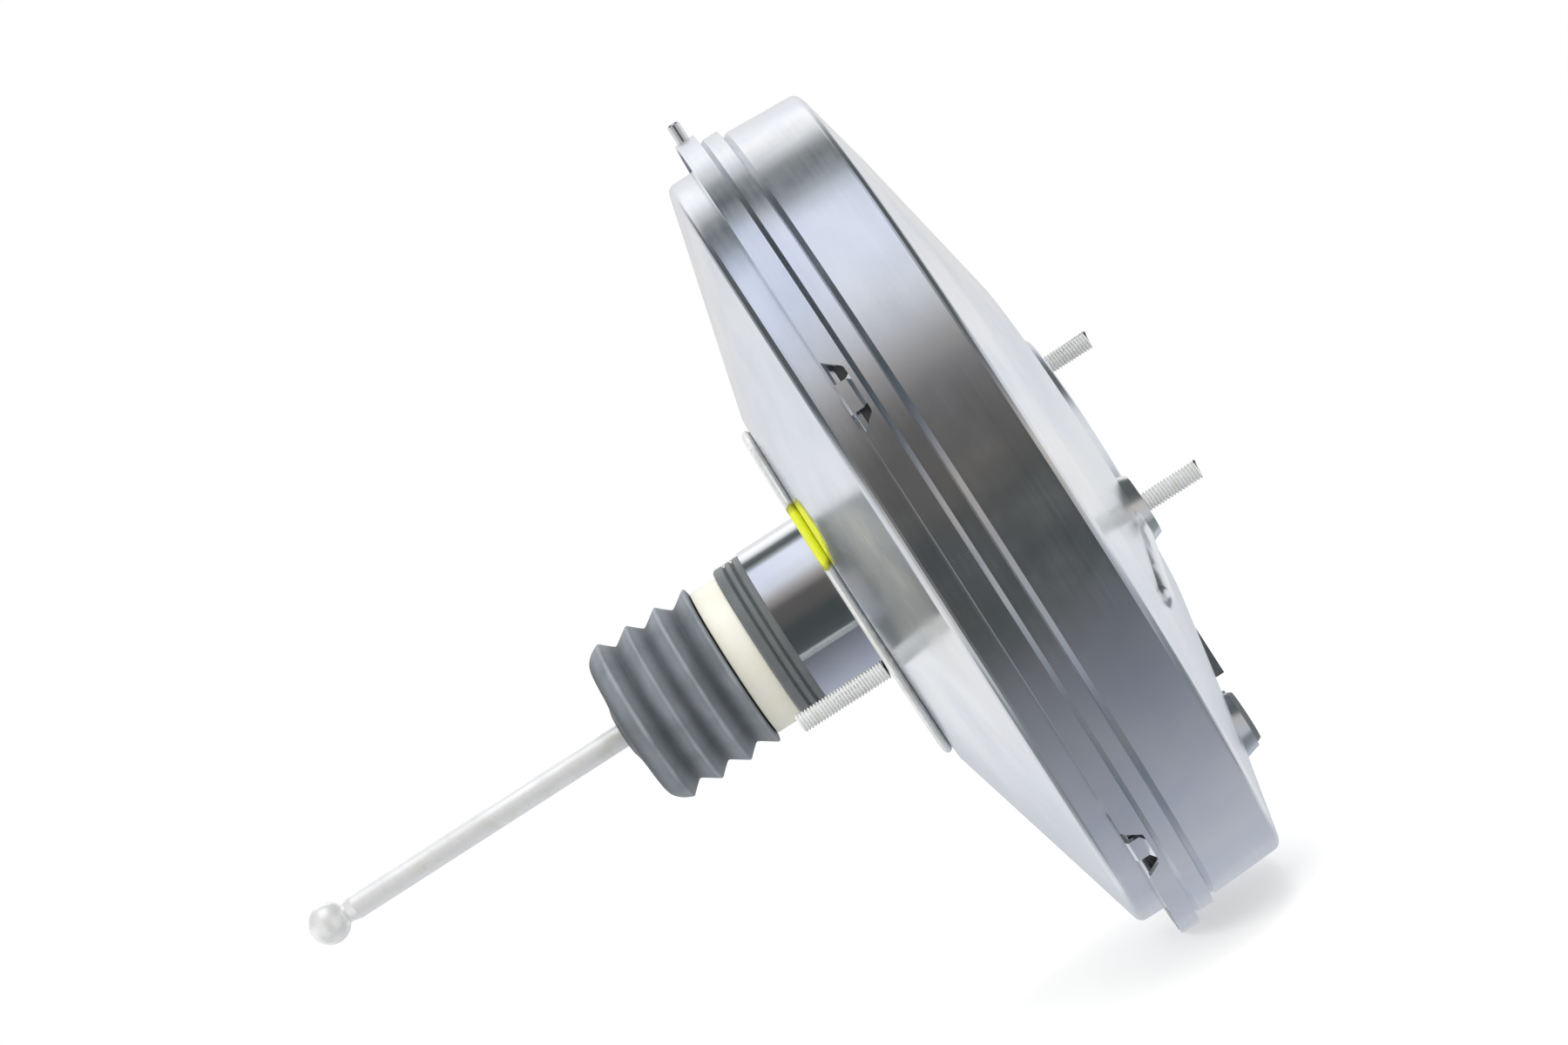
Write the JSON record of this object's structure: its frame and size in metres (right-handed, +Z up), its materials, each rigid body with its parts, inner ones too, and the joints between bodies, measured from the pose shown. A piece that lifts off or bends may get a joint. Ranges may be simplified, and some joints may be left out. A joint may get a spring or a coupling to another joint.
{
  "type": "brake booster",
  "caption": "Round vacuum brake booster with crimped steel shells, rubber boot and ball-ended pedal rod; a servo piston pushes the output rod forwards.",
  "frame": {"origin": "on the booster's axis, in the rear face of the mounting plate that lies on the bulkhead", "axes": "+X along the axis towards the master cylinder, -X towards the pedal, +Z up as the studs lie in the picture, +Y to the far side"},
  "size_m": [0.2929, 0.275, 0.2815],
  "materials": {
    "plated_shell": "bright zinc plating, blue tinge",
    "plated_bolt": "bright zinc",
    "bright_rod": "polished steel",
    "inner_steel": "plain pressed steel",
    "spring_steel": "oiled spring wire",
    "black_rubber": "smooth moulded rubber",
    "grey_rubber": "smooth moulded rubber",
    "cream_plastic": "moulded thermoset",
    "dark_plastic": "moulded plastic",
    "filter_foam": "open-cell foam",
    "felt": "pressed felt"
  },
  "bodies": {
    "shell": {"rear_shell": "plated_shell", "front_shell": "plated_shell", "mounting_plate": "plated_shell", "front_brace": "inner_steel", "tie_bolt_near": "plated_bolt", "tie_bolt_far": "plated_bolt", "bolt_seal_rings": "black_rubber", "neck_seal": "black_rubber", "neck_bush": "cream_plastic", "boot": "grey_rubber", "diaphragm": "black_rubber", "vacuum_grommet": "black_rubber", "return_spring": "spring_steel"},
    "servo_piston": {"valve_body": "cream_plastic", "diaphragm_plate": "inner_steel", "plate_retainer": "inner_steel", "bolt_glands": "black_rubber", "reaction_disc": "black_rubber", "output_rod": "bright_rod", "adjusting_tip": "plated_bolt", "rod_retainer": "inner_steel", "stop_key": "inner_steel", "poppet_valve": "black_rubber", "poppet_retainer": "inner_steel", "poppet_spring": "spring_steel", "rod_spring": "spring_steel", "air_filter": "filter_foam", "silencer": "felt", "filter_retainer": "dark_plastic"},
    "plunger": {"valve_plunger": "bright_rod"},
    "pedal_rod": {"pedal_rod": "bright_rod", "spring_seat": "inner_steel"}
  },
  "joints": [
    {"name": "brake_stroke", "type": "slide", "parent": "shell", "child": "servo_piston", "axis": [1, 0, 0], "range_m": [0, 0.034], "stiffness_N_per_m": 2500, "springref_m": -0.03, "deforming": ["return_spring", "boot", "diaphragm"]},
    {"name": "valve_travel", "type": "slide", "parent": "servo_piston", "child": "plunger", "axis": [1, 0, 0], "range_m": [0, 0.0015], "stiffness_N_per_m": 3000, "springref_m": -0.005, "deforming": ["rod_spring", "poppet_spring", "poppet_valve"]},
    {"name": "rod_tilt", "type": "hinge", "parent": "plunger", "child": "pedal_rod", "pos_m": [0.008, 0, 0], "axis": [0, 1, 0], "range_deg": [-3, 3], "stiffness_Nm_per_rad": 8}
  ]
}
